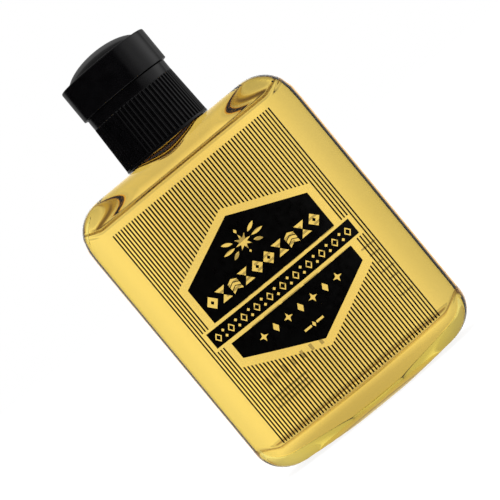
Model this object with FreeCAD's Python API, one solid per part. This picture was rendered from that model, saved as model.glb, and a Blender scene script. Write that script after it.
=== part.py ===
"""Flat aftershave flask with a screw-on flip-top closure, in millimetres.

Frame: origin at the centre of the base, +Z up the bottle axis, the front face looks along -Y, +X to its right.
"""

import FreeCAD, Part

import math
import os

V = FreeCAD.Vector
UP = V(0, 0, 1)
CENTRE = V(0, 0, 0)

# flask: a lens-shaped section, flat narrow sides, soft shoulder and heel
BODY_WIDTH = 68.0
BODY_DEPTH = 30.0
BODY_HEIGHT = 86.4
FACE_RADIUS = 64.0
SIDE_ROUNDING = 4.0
TOP_CORNER = 10.0
BOTTOM_CORNER_WIDTH = 9.5
BOTTOM_CORNER_HEIGHT = 8.5
BASE_BOW = 1.2
STANDING_HALF_WIDTH = 8.0
SHOULDER_HEIGHT = 6.8
SHOULDER_INSET = 7.2
SHOULDER_BREAK_DEG = 14.0
HEEL_HEIGHT = 8.0
HEEL_INSET = 6.0
HEEL_BREAK_DEG = 8.0
WALL = 2.2
BASE_THICKNESS = 3.6
PUSH_UP = 0.7
PUSH_UP_MARGIN = 3.0

# neck: a 22 mm screw finish
NECK_WALL_RADIUS = 9.8
NECK_BORE_RADIUS = 7.8
NECK_ROOT_RADIUS = 10.6
NECK_ROOT_TOP = 87.9
LIP_Z = 101.8
THREAD_PITCH = 3.175
THREAD_HEIGHT = 1.1
THREAD_ROOT_HALF = 0.75
THREAD_CREST_HALF = 0.4
NECK_THREAD_TURNS = 1.5
NECK_THREAD_START_Z = 94.5
CAP_THREAD_TURNS = 1.25
THREAD_SINK = 0.3

# contents
FILL_Z = 88.0

# closure base: flange, ribbed skirt, smooth band, deck and spout
CAP_BOTTOM_Z = 86.6
FLANGE_TOP_Z = 87.5
RIBS_TOP_Z = 100.8
BAND_TOP_Z = 103.9
FLANGE_RADIUS = 13.15
RIB_TIP_RADIUS_LOW = 13.1
RIB_TIP_RADIUS_TOP = 12.65
RIB_DEPTH = 0.45
RIB_COUNT = 60
RIB_TOP_SHARE = 0.36
RIB_FOOT_SHARE = 0.68
BAND_RADIUS = 12.6
SKIRT_BORE_RADIUS = 11.2
LEAD_IN = 0.6
LINER_SEAT_RADIUS = 10.6
DECK_UNDERSIDE_Z = 102.8
DECK_RING_RADIUS = 11.9
DECK_RING_BORE = 10.9
DECK_RING_TOP_Z = 104.8
SPOUT_BASE_RADIUS = 3.6
SPOUT_TOP_RADIUS = 2.7
SPOUT_TOP_Z = 106.9
ORIFICE_RADIUS = 1.6
ORIFICE_FUNNEL = 0.8

# sealing liner
LINER_RADIUS = 10.3
LINER_BORE = 6.4

# lid
LID_RADIUS = 13.45
LID_BORE_RADIUS = 12.2
LID_BOTTOM_Z = 104.05
LID_RIM_Z = 113.6
LID_ROOF_UNDERSIDE_Z = 112.4
DOME_RADIUS = 10.9
DOME_HEIGHT = 3.1
DOME_ELLIPSE_WIDTH = 12.0
PLUG_TIP_Z = 105.1
PLUG_TIP_RADIUS = 1.1
PLUG_SEAL_RADIUS = 1.42
PLUG_ROOT_RADIUS = 1.9
PLUG_SHOULDER = 1.2
PLUG_TOP_Z = 115.9
ROOF_THICKNESS = 1.2

# living hinge at the back
HINGE_Y = 13.75
HINGE_Z = 103.98
HINGE_WIDTH = 8.0
HINGE_FILM = 0.3
HINGE_GAP_HALF = 0.25
HINGE_PAD_HEIGHT = 2.8

# labels
LABEL_FILM = 0.08
LABEL_CORNER = 1.5
FRONT_LABEL_HALF = 26.6
FRONT_LABEL_Z = (7.9, 77.4)
BACK_LABEL_HALF = 23.0
BACK_LABEL_Z = (12.0, 72.0)

# small edge breaks, and how far one solid reaches into the next before they are joined
EDGE = 0.3
FINE_EDGE = 0.15
OVERLAP = 1.0


def lens_edge(x, half_depth):
    """Half thickness of the lens-shaped section at a distance x from the middle."""
    return half_depth - FACE_RADIUS + math.sqrt(FACE_RADIUS**2 - x**2)


def section(z, half_depth, half_width, squeeze, rounding):
    """One horizontal section: two wide arcs, two flat sides and four rounded corners."""
    side = lens_edge(half_width, half_depth / squeeze) * squeeze
    sag = half_depth - side
    radius = (half_width**2 + sag**2) / (2 * sag)
    drop = radius - half_depth
    corner_x = half_width - rounding
    corner_y = math.sqrt((radius - rounding) ** 2 - corner_x**2) - drop
    scale = radius / (radius - rounding)
    touch = (corner_x * scale, (corner_y + drop) * scale - drop)
    mid_angle = math.atan2(corner_y + drop, corner_x) / 2
    mid = (corner_x + rounding * math.cos(mid_angle), corner_y + rounding * math.sin(mid_angle))
    edges = []
    for turn in (1, -1):
        low, high, bend = [
            V(turn * x, -turn * y, z) for x, y in ((-touch[0], touch[1]), touch, (0, half_depth))
        ]
        edges.append(Part.Arc(low, bend, high).toShape())
        side_low = V(turn * half_width, -turn * corner_y, z)
        side_high = V(turn * half_width, turn * corner_y, z)
        edges.append(Part.Arc(high, V(turn * mid[0], -turn * mid[1], z), side_low).toShape())
        edges.append(Part.LineSegment(side_low, side_high).toShape())
        far = V(turn * touch[0], turn * touch[1], z)
        edges.append(Part.Arc(side_high, V(turn * mid[0], turn * mid[1], z), far).toShape())
    return Part.Wire(edges)


def corner_width(half_width, run, rise, past):
    """Half width a little past the end of the front outline, where its corner is run wide and rise high."""
    if past >= rise:
        return half_width
    return half_width - run + run * math.sqrt(1 - (1 - past / rise) ** 2)


def base_width(half_width, run, rise, past):
    """Half width a little above the base, which bows gently up towards its rounded corners."""
    if past >= BASE_BOW:
        return corner_width(half_width, run, rise, past - BASE_BOW)
    return STANDING_HALF_WIDTH + (half_width - run - STANDING_HALF_WIDTH) * past / BASE_BOW


def rim_depth(half_depth, inset, height, past, break_deg):
    """Half depth a little past the end of the side outline, with a slight break where the flat face ends."""
    if past >= height:
        return half_depth
    start = math.radians(break_deg)
    rise = math.sin(start) + (1 - math.sin(start)) * (1 - past / height)
    angle = math.asin(min(rise, 1.0))
    return half_depth - inset * (math.cos(start) - math.cos(angle)) / math.cos(start)


def loft(levels, outline):
    return Part.makeLoft([outline(z) for z in levels], True, False)


def flask_body(inset, z_low, z_high):
    """The flask's outer form, or its cavity when inset is the wall thickness."""
    half_width = BODY_WIDTH / 2 - inset
    half_depth = BODY_DEPTH / 2 - inset
    low_run = BOTTOM_CORNER_WIDTH - inset
    low_rise = BOTTOM_CORNER_HEIGHT - inset
    top_corner = TOP_CORNER - inset
    heel_height = HEEL_HEIGHT - inset / 2
    shoulder_height = SHOULDER_HEIGHT - inset / 2

    def outline(z):
        above = z - z_low
        below = z_high - z
        width = min(
            base_width(half_width, low_run, low_rise, above),
            corner_width(half_width, top_corner, top_corner, below),
        )
        depth = min(
            rim_depth(half_depth, HEEL_INSET, heel_height, above, HEEL_BREAK_DEG),
            rim_depth(half_depth, SHOULDER_INSET, shoulder_height, below, SHOULDER_BREAK_DEG),
        )
        squeeze = depth / half_depth
        return section(z, depth, width, squeeze, (SIDE_ROUNDING - inset / 2) * squeeze)

    steps = [math.radians(15 * i) for i in range(7)]
    bow_top = z_low + BASE_BOW
    heel_top = z_low + heel_height
    barrel_start = bow_top + low_rise
    barrel_end = z_high - top_corner
    crease = z_high - shoulder_height
    bow = loft([z_low + BASE_BOW * i / 3 for i in range(4)], outline)
    heel = loft([bow_top + low_rise * (1 - math.cos(a)) for a in steps[:5]] + [heel_top], outline)
    lower = loft([heel_top, (heel_top + barrel_start) / 2, barrel_start], outline)
    barrel = Part.Face(outline(barrel_start)).extrude(UP * (barrel_end - barrel_start))
    upper = loft([barrel_end, (barrel_end + crease) / 2, crease], outline)
    shoulder = loft([z_high - shoulder_height * (1 - math.sin(a)) for a in steps], outline)
    return bow.multiFuse([heel, lower, barrel, upper, shoulder])


def turned(points):
    """A solid turned about the bottle axis from (radius, height) points."""
    corners = [V(r, 0, z) for r, z in points]
    return Part.Face(Part.makePolygon(corners + corners[:1])).revolve(CENTRE, UP, 360)


def thread(wall_radius, crest_radius, start_z, turns, start_deg):
    """A helical ridge from the wall to the crest, sunk a little into the wall."""
    outward = 1 if crest_radius > wall_radius else -1
    sunk = wall_radius - outward * THREAD_SINK
    profile = [
        V(sunk, 0, -THREAD_ROOT_HALF),
        V(wall_radius, 0, -THREAD_ROOT_HALF),
        V(crest_radius, 0, -THREAD_CREST_HALF),
        V(crest_radius, 0, THREAD_CREST_HALF),
        V(wall_radius, 0, THREAD_ROOT_HALF),
        V(sunk, 0, THREAD_ROOT_HALF),
    ]
    path = Part.makeHelix(THREAD_PITCH, THREAD_PITCH * turns, wall_radius)
    ridge = Part.Wire(path.Edges).makePipeShell([Part.makePolygon(profile + profile[:1])], True, True)
    ridge.rotate(CENTRE, UP, start_deg)
    ridge.translate(UP * start_z)
    return ridge


def neck():
    """The screw finish, from inside the shoulder to the lip."""
    foot_z = BODY_HEIGHT - WALL - OVERLAP
    barrel = turned(
        [
            (NECK_BORE_RADIUS - OVERLAP, foot_z),
            (NECK_ROOT_RADIUS, foot_z),
            (NECK_ROOT_RADIUS, NECK_ROOT_TOP - 0.4),
            (NECK_WALL_RADIUS, NECK_ROOT_TOP + 0.4),
            (NECK_WALL_RADIUS, LIP_Z - EDGE),
            (NECK_WALL_RADIUS - EDGE, LIP_Z),
            (NECK_BORE_RADIUS - OVERLAP, LIP_Z),
        ]
    )
    ridge = thread(
        NECK_WALL_RADIUS, NECK_WALL_RADIUS + THREAD_HEIGHT, NECK_THREAD_START_Z, NECK_THREAD_TURNS, 0
    )
    return barrel.fuse(ridge)


def push_up():
    """The shallow recess under the base, which leaves a flat standing ring."""
    half_width = STANDING_HALF_WIDTH - PUSH_UP_MARGIN
    half_depth = BODY_DEPTH / 2 - HEEL_INSET - PUSH_UP_MARGIN
    block = Part.makeBox(2 * half_width, 2 * half_depth, 2 * PUSH_UP, V(-half_width, -half_depth, -PUSH_UP))
    corners = [e for e in block.Edges if abs(e.tangentAt(e.FirstParameter).z) > 0.9]
    return block.makeFillet(PUSH_UP_MARGIN, corners)


def hollow():
    """Everything inside the flask: the cavity and the neck's bore."""
    cavity = flask_body(WALL, BASE_THICKNESS, BODY_HEIGHT - WALL)
    mouth_start = BODY_HEIGHT - WALL - 2 * OVERLAP
    bore = turned(
        [
            (0, mouth_start),
            (NECK_BORE_RADIUS, mouth_start),
            (NECK_BORE_RADIUS, LIP_Z - EDGE),
            (NECK_BORE_RADIUS + EDGE, LIP_Z),
            (NECK_BORE_RADIUS + EDGE, LIP_Z + OVERLAP),
            (0, LIP_Z + OVERLAP),
        ]
    )
    return cavity.fuse(bore)


def bottle():
    shell = flask_body(0, 0, BODY_HEIGHT).fuse(neck())
    return shell.cut(hollow()).cut(push_up()).removeSplitter()


def aftershave_liquid():
    """The liquid fills the cavity to just above the foot of the neck."""
    below = Part.makeBox(2 * BODY_WIDTH, 2 * BODY_WIDTH, FILL_Z, V(-BODY_WIDTH, -BODY_WIDTH, 0))
    return hollow().common(below)


def label(half, z_range, facing):
    """A thin film wrapped on one curved face, facing -1 for the front and 1 for the back."""
    middle = V(0, facing * (BODY_DEPTH / 2 - FACE_RADIUS), z_range[0])
    height = z_range[1] - z_range[0]
    outer = Part.makeCylinder(FACE_RADIUS + LABEL_FILM, height, middle, UP)
    film = outer.cut(Part.makeCylinder(FACE_RADIUS, height, middle, UP))
    block = Part.makeBox(2 * half, BODY_DEPTH, height, V(-half, -BODY_DEPTH / 2, z_range[0]))
    edges = [e for e in block.Edges if abs(e.tangentAt(e.FirstParameter).y) > 0.9]
    block = block.makeFillet(LABEL_CORNER, edges)
    block.translate(V(0, facing * BODY_DEPTH / 2, 0))
    return film.common(block)


def rib_outline(z, tip_radius):
    """A closed outline of flat-topped ribs around the bottle axis."""
    points = []
    for i in range(RIB_COUNT):
        middle = 2 * math.pi * i / RIB_COUNT
        pitch = 2 * math.pi / RIB_COUNT
        for offset, radius in (
            (-RIB_FOOT_SHARE / 2, tip_radius - RIB_DEPTH),
            (-RIB_TOP_SHARE / 2, tip_radius),
            (RIB_TOP_SHARE / 2, tip_radius),
            (RIB_FOOT_SHARE / 2, tip_radius - RIB_DEPTH),
        ):
            angle = middle + offset * pitch
            points.append(V(radius * math.cos(angle), radius * math.sin(angle), z))
    return Part.makePolygon(points + points[:1])


def ribbed_skirt():
    """The grip of the closure: ribs on a slight taper."""
    low = rib_outline(FLANGE_TOP_Z - EDGE, RIB_TIP_RADIUS_LOW)
    top = rib_outline(RIBS_TOP_Z + EDGE, RIB_TIP_RADIUS_TOP)
    return Part.makeLoft([low, top], True, True)


def closure_shell():
    """The plain turned parts of the closure base: flange, band, deck and spout."""
    flange = turned(
        [
            (0, CAP_BOTTOM_Z),
            (FLANGE_RADIUS - EDGE, CAP_BOTTOM_Z),
            (FLANGE_RADIUS, CAP_BOTTOM_Z + EDGE),
            (FLANGE_RADIUS, FLANGE_TOP_Z - FINE_EDGE),
            (FLANGE_RADIUS - FINE_EDGE, FLANGE_TOP_Z),
            (0, FLANGE_TOP_Z),
        ]
    )
    band = turned(
        [
            (0, RIBS_TOP_Z),
            (BAND_RADIUS, RIBS_TOP_Z),
            (BAND_RADIUS, BAND_TOP_Z - FINE_EDGE),
            (BAND_RADIUS - FINE_EDGE, BAND_TOP_Z),
            (DECK_RING_RADIUS, BAND_TOP_Z),
            (DECK_RING_RADIUS, DECK_RING_TOP_Z - FINE_EDGE),
            (DECK_RING_RADIUS - FINE_EDGE, DECK_RING_TOP_Z),
            (DECK_RING_BORE, DECK_RING_TOP_Z),
            (DECK_RING_BORE, BAND_TOP_Z),
            (SPOUT_BASE_RADIUS, BAND_TOP_Z),
            (SPOUT_TOP_RADIUS, SPOUT_TOP_Z - FINE_EDGE),
            (SPOUT_TOP_RADIUS - FINE_EDGE, SPOUT_TOP_Z),
            (0, SPOUT_TOP_Z),
        ]
    )
    return flange.fuse(band)


def closure_hollow():
    """The inside of the closure base: lead-in, thread bore, liner seat and orifice."""
    return turned(
        [
            (0, CAP_BOTTOM_Z - OVERLAP),
            (SKIRT_BORE_RADIUS + LEAD_IN, CAP_BOTTOM_Z - OVERLAP),
            (SKIRT_BORE_RADIUS + LEAD_IN, CAP_BOTTOM_Z),
            (SKIRT_BORE_RADIUS, CAP_BOTTOM_Z + LEAD_IN),
            (SKIRT_BORE_RADIUS, LIP_Z - 2 * LEAD_IN),
            (LINER_SEAT_RADIUS, LIP_Z - LEAD_IN),
            (LINER_SEAT_RADIUS, DECK_UNDERSIDE_Z),
            (ORIFICE_RADIUS + ORIFICE_FUNNEL, DECK_UNDERSIDE_Z),
            (ORIFICE_RADIUS, DECK_UNDERSIDE_Z + ORIFICE_FUNNEL),
            (ORIFICE_RADIUS, SPOUT_TOP_Z - FINE_EDGE),
            (ORIFICE_RADIUS + FINE_EDGE, SPOUT_TOP_Z),
            (ORIFICE_RADIUS + FINE_EDGE, SPOUT_TOP_Z + OVERLAP),
            (0, SPOUT_TOP_Z + OVERLAP),
        ]
    )


def hinge_pad(z_low, z_high, root_radius):
    """A small block at the back that carries one side of the living hinge."""
    start_y = root_radius - 2 * OVERLAP
    corner = V(-HINGE_WIDTH / 2, start_y, z_low)
    block = Part.makeBox(HINGE_WIDTH, HINGE_Y - start_y, z_high - z_low, corner)
    outer = [e for e in block.Edges if e.CenterOfMass.y > HINGE_Y - EDGE]
    upright = [e for e in outer if abs(e.tangentAt(e.FirstParameter).z) > 0.9]
    return block.makeFillet(EDGE, upright)


def cap_base():
    solid = closure_shell().fuse(ribbed_skirt())
    pad_top = HINGE_Z - HINGE_GAP_HALF
    pad = hinge_pad(pad_top - HINGE_PAD_HEIGHT, pad_top, BAND_RADIUS)
    core = Part.makeCylinder(BAND_RADIUS - OVERLAP, BAND_TOP_Z, CENTRE)
    solid = solid.fuse(pad.cut(core))
    solid = solid.cut(closure_hollow()).removeSplitter()
    half_pitch = THREAD_PITCH / 2
    ridge = thread(
        SKIRT_BORE_RADIUS,
        SKIRT_BORE_RADIUS - THREAD_HEIGHT,
        NECK_THREAD_START_Z - half_pitch,
        CAP_THREAD_TURNS,
        0,
    )
    return solid.fuse(ridge)


def sealing_liner():
    """The soft ring between the neck's lip and the underside of the deck."""
    return turned(
        [
            (LINER_BORE, LIP_Z),
            (LINER_RADIUS, LIP_Z),
            (LINER_RADIUS, DECK_UNDERSIDE_Z),
            (LINER_BORE, DECK_UNDERSIDE_Z),
        ]
    )


def dome(radius, rim_z, shrink):
    """A flattened dome on the lid, turned from part of an ellipse."""
    width = DOME_ELLIPSE_WIDTH - shrink
    cut = math.sqrt(1 - (radius / width) ** 2)
    height = DOME_HEIGHT / (1 - math.sqrt(1 - (DOME_RADIUS / DOME_ELLIPSE_WIDTH) ** 2))
    centre = V(0, 0, rim_z - height * cut)
    ellipse = Part.Ellipse(V(width, 0, centre.z), V(0, 0, centre.z + height), centre)
    edge = Part.ArcOfEllipse(ellipse, math.acos(radius / width), math.pi / 2).toShape()
    foot = V(radius, 0, rim_z)
    apex = V(0, 0, centre.z + height)
    sides = [
        edge,
        Part.LineSegment(apex, V(0, 0, rim_z - 1)).toShape(),
        Part.LineSegment(V(0, 0, rim_z - 1), V(radius, 0, rim_z - 1)).toShape(),
        Part.LineSegment(V(radius, 0, rim_z - 1), foot).toShape(),
    ]
    return Part.Face(Part.Wire(Part.__sortEdges__(sides))).revolve(CENTRE, UP, 360)


def lid_shell():
    """The outside of the lid: straight skirt, rounded rim, domed top."""
    skirt = turned(
        [
            (0, LID_BOTTOM_Z),
            (LID_RADIUS - FINE_EDGE, LID_BOTTOM_Z),
            (LID_RADIUS, LID_BOTTOM_Z + FINE_EDGE),
            (LID_RADIUS, LID_RIM_Z - EDGE),
            (LID_RADIUS - EDGE, LID_RIM_Z),
            (0, LID_RIM_Z),
        ]
    )
    return skirt.fuse(dome(DOME_RADIUS, LID_RIM_Z, 0))


def lid_hollow():
    cup = turned(
        [
            (0, LID_BOTTOM_Z - OVERLAP),
            (LID_BORE_RADIUS, LID_BOTTOM_Z - OVERLAP),
            (LID_BORE_RADIUS, LID_ROOF_UNDERSIDE_Z - EDGE),
            (LID_BORE_RADIUS - EDGE, LID_ROOF_UNDERSIDE_Z),
            (0, LID_ROOF_UNDERSIDE_Z),
        ]
    )
    return cup.fuse(dome(DOME_RADIUS - ROOF_THICKNESS, LID_ROOF_UNDERSIDE_Z, ROOF_THICKNESS))


def sealing_plug():
    """The pin under the lid that closes the orifice, tapered so that it swings out freely."""
    return turned(
        [
            (0, PLUG_TIP_Z),
            (PLUG_TIP_RADIUS - FINE_EDGE, PLUG_TIP_Z),
            (PLUG_TIP_RADIUS, PLUG_TIP_Z + FINE_EDGE),
            (PLUG_SEAL_RADIUS, SPOUT_TOP_Z),
            (PLUG_ROOT_RADIUS, SPOUT_TOP_Z + PLUG_SHOULDER),
            (PLUG_ROOT_RADIUS, PLUG_TOP_Z),
            (0, PLUG_TOP_Z),
        ]
    )


def cap_lid():
    pad_low = HINGE_Z + HINGE_GAP_HALF
    pad = hinge_pad(pad_low, pad_low + HINGE_PAD_HEIGHT, LID_RADIUS)
    solid = lid_shell().fuse(pad).cut(lid_hollow())
    return solid.fuse(sealing_plug()).removeSplitter()


def living_hinge():
    """The thin flexing film that joins the closure base and the lid at the back."""
    corner = V(-HINGE_WIDTH / 2, HINGE_Y - HINGE_FILM, HINGE_Z - HINGE_GAP_HALF)
    return Part.makeBox(HINGE_WIDTH, HINGE_FILM, 2 * HINGE_GAP_HALF, corner)


def front_label():
    return label(FRONT_LABEL_HALF, FRONT_LABEL_Z, -1)


def back_label():
    return label(BACK_LABEL_HALF, BACK_LABEL_Z, 1)


def write_parts():
    os.makedirs("parts", exist_ok=True)
    for make in (
        bottle,
        aftershave_liquid,
        front_label,
        back_label,
        sealing_liner,
        cap_base,
        living_hinge,
        cap_lid,
    ):
        shape = make()
        box = shape.BoundBox
        print(
            make.__name__,
            "solids",
            len(shape.Solids),
            "valid",
            shape.isValid(),
            "volume",
            round(shape.Volume, 1),
            "z",
            round(box.ZMin, 2),
            round(box.ZMax, 2),
        )
        shape.exportStep(os.path.join("parts", make.__name__ + ".step"))


write_parts()
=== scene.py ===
"""The aftershave flask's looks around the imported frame.

Glass, liquid, printed labels and the black flip-top closure, in a plain studio. Shapes are worked out in
millimetres and turned into metres where a mesh or a node is made."""

import math

import bmesh
import bpy
import numpy as np
from mathutils import Matrix, Vector


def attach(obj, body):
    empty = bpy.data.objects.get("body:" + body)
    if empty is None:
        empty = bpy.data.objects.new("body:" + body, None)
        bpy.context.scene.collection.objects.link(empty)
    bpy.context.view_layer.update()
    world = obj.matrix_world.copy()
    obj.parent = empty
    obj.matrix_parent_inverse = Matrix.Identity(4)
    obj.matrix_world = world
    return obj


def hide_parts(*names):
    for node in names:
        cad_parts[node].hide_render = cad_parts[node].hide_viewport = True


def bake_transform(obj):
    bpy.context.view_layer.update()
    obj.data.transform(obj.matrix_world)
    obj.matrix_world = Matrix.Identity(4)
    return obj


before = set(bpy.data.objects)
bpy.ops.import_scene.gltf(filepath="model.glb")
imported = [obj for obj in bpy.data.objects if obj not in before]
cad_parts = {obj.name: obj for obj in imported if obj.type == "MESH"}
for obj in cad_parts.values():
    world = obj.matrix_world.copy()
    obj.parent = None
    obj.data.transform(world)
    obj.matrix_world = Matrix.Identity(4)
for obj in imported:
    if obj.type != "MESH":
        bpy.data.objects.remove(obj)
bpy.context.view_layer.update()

MM = 0.001

# the driving dimensions of the flask and its closure, in millimetres
HALF_WIDTH, HALF_DEPTH, HEIGHT = 34.0, 15.0, 86.4
FACE_RADIUS = 64.0
SIDE_ROUNDING = 4.0
TOP_CORNER, BOTTOM_RUN, BOTTOM_RISE = 10.0, 9.5, 8.5
BASE_BOW, STANDING_HALF = 1.2, 8.0
SHOULDER_HEIGHT, SHOULDER_INSET, SHOULDER_BREAK = 6.8, 7.2, math.radians(14.0)
HEEL_HEIGHT, HEEL_INSET, HEEL_BREAK = 8.0, 6.0, math.radians(8.0)
CREASE_TURN, CREASE_RISE, HEEL_RISE = 7.0, 2.4, 3.0
CREASE_DEPTH, CREASE_HALF, HEEL_GROOVE = 0.6, 0.45, 0.55
RIPPLE_DEPTH, RIPPLE_COUNT = 0.32, 3
SHOULDER_FOOT = 13.4
WALL, BASE = 2.2, 3.6
PUSH_UP, PUSH_UP_EDGE, PUSH_UP_BLEND, FLOOR_CROWN = 0.7, 0.72, 0.14, 0.5
NECK_RADIUS, NECK_BORE, NECK_ROOT_RADIUS, NECK_ROOT_TOP, LIP = 9.8, 7.8, 10.6, 87.9, 101.8
NECK_START, BORE_FLARE, CAVITY_FOOT = 88.9, 2.4, 10.0
PITCH, THREAD_HEIGHT, THREAD_ROOT, THREAD_CREST = 3.175, 1.1, 0.75, 0.4
NECK_THREAD_START, NECK_THREAD_TURNS, CAP_THREAD_TURNS = 94.5, 1.5, 1.25
FILL, MENISCUS, WETTING = 88.0, 0.7, 0.04
CAP_BOTTOM, FLANGE_TOP, RIBS_TOP, BAND_TOP = 86.6, 87.5, 100.8, 103.9
FLANGE_RADIUS, TIP_LOW, TIP_TOP, RIB_DEPTH, RIBS = 13.15, 13.1, 12.65, 0.45, 60
BAND_RADIUS, SKIRT_BORE, LINER_SEAT, DECK_UNDERSIDE = 12.6, 11.2, 10.6, 102.8
DECK_RING, DECK_RING_BORE, DECK_RING_TOP = 11.9, 10.9, 104.8
SPOUT_BASE, SPOUT_TIP, SPOUT_TOP, ORIFICE = 3.6, 2.7, 106.9, 1.6
LID_RADIUS, LID_BORE, LID_BOTTOM, LID_RIM, LID_ROOF = 13.45, 12.2, 104.05, 113.6, 112.4
DOME_RADIUS, DOME_HEIGHT, DOME_ELLIPSE = 10.9, 3.1, 12.0
PLUG_TIP, PLUG_TIP_RADIUS, PLUG_SEAL, PLUG_ROOT = 105.1, 1.1, 1.42, 1.9
HINGE_Y, HINGE_Z, HINGE_WIDTH, HINGE_FILM, HINGE_GAP, HINGE_PAD = 13.75, 103.98, 8.0, 0.3, 0.25, 2.8
LINER_BORE, LINER_RADIUS = 6.4, 10.3

# how finely the flask is divided, and where its base rings start and end, as shares of the outline
FLASK_COLUMNS, TURNED_COLUMNS, LID_COLUMNS = 352, 192, 288
FIRST_RING, LAST_RING = 0.06, 0.985


# ---- curves and meshes


def eased(t):
    """A smooth rise from 0 to 1, level at both ends, as t goes from 0 to 1."""
    t = np.clip(t, 0, 1)
    return t * t * (3 - 2 * t)


def bent(t, start, corner, end):
    """The point t of the way along an arc-like curve from start to end, drawn towards corner."""
    return (1 - t) ** 2 * start + 2 * t * (1 - t) * corner + t * t * end


def placed(name, data):
    """A new object in the scene that holds this mesh, light or camera."""
    holder = bpy.data.objects.new(name, data)
    bpy.context.scene.collection.objects.link(holder)
    return holder


def new_object(name, points, faces):
    mesh = bpy.data.meshes.new(name)
    mesh.from_pydata([tuple(p) for p in np.asarray(points) * MM], [], faces)
    mesh.validate()
    mesh.update()
    return placed(name, mesh)


def smooth(piece, degrees=None):
    """Smooth shading, with edges sharper than the given angle kept crisp."""
    piece.data.shade_smooth()
    if degrees is not None:
        piece.data.set_sharp_from_angle(angle=math.radians(degrees))
    return piece


def all_round(levels, count):
    """Turns one value per ring into a (levels, angles) array."""
    return np.repeat(np.asarray(levels)[:, None], count, 1)


def profile_rings(corners, steps, count):
    """Radii and heights of a turned stretch from (radius, height, rounding) corners."""
    profile = rounded_profile(corners, steps)
    return all_round(profile[:, 0], count), all_round(profile[:, 1], count)


def stacked(parts):
    """Joins stretches of (radii, heights) into one, in their order."""
    return [np.vstack([part[i] for part in parts]) for i in (0, 1)]


def ring_faces(levels, count, closed):
    """Quads between neighbouring rings, and from the last ring to the first when the grid is closed."""
    faces = []
    for i in range(levels if closed else levels - 1):
        low, high = i * count, (i + 1) % levels * count
        for j in range(count):
            k = (j + 1) % count
            faces.append((low + j, low + k, high + k, high + j))
    return faces


def lathe_grid(name, radii, heights, angles, poles=(None, None), closed=False):
    """A closed surface from rings: radii and heights are (levels, angles) arrays, bottom ring first.

    poles gives the height of a centre point that closes the first and the last ring, or None.
    closed joins the last ring back to the first."""
    levels, count = radii.shape
    points = np.stack([radii * np.cos(angles), radii * np.sin(angles), heights], -1).reshape(-1, 3)
    faces = ring_faces(levels, count, closed)
    points = list(points)
    for pole, ring, flip in ((poles[0], 0, True), (poles[1], levels - 1, False)):
        if pole is None:
            continue
        points.append((0.0, 0.0, pole))
        tip, start = len(points) - 1, ring * count
        for j in range(count):
            k = (j + 1) % count
            faces.append((start + k, start + j, tip) if flip else (start + j, start + k, tip))
    return new_object(name, points, faces)


def arc_resample(rho, z, count):
    """Spread count points evenly along the curve (rho, z)."""
    length = np.concatenate([[0.0], np.cumsum(np.hypot(np.diff(rho), np.diff(z)))])
    at = np.linspace(0, length[-1], count)
    return np.interp(at, length, rho), np.interp(at, length, z)


def rounded_profile(corners, steps=5):
    """A profile from (radius, height, rounding) corners, with each corner turned by an arc-like curve."""
    out = []
    for i, (r, z, bend) in enumerate(corners):
        if bend == 0 or i in (0, len(corners) - 1):
            out.append((r, z))
            continue
        here = np.array([r, z])
        before, after = [np.array(corners[i + d][:2]) - here for d in (-1, 1)]
        start = here + before / np.linalg.norm(before) * min(bend, np.linalg.norm(before) / 2)
        end = here + after / np.linalg.norm(after) * min(bend, np.linalg.norm(after) / 2)
        out += [tuple(bent(t, start, here, end)) for t in np.linspace(0, 1, steps)]
    return np.array(out)


def turned(name, corners, count=TURNED_COLUMNS, steps=5, closed=False, poles=(None, None)):
    """A turned piece from (radius, height, rounding) corners."""
    angles = np.linspace(0, 2 * math.pi, count, endpoint=False)
    return lathe_grid(name, *profile_rings(corners, steps, count), angles, poles, closed)


# ---- the flask's form


def broken_arc(t, break_angle):
    """From 0 to 1 along a quarter turn that starts with a slight break instead of tangent to the face."""
    first = math.sin(break_angle)
    rise = np.minimum(first + (1 - first) * t, 1)
    turned_in = 1 - np.sqrt(1 - rise**2) / math.cos(break_angle)
    return np.where(t > 0, turned_in, 0)


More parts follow.
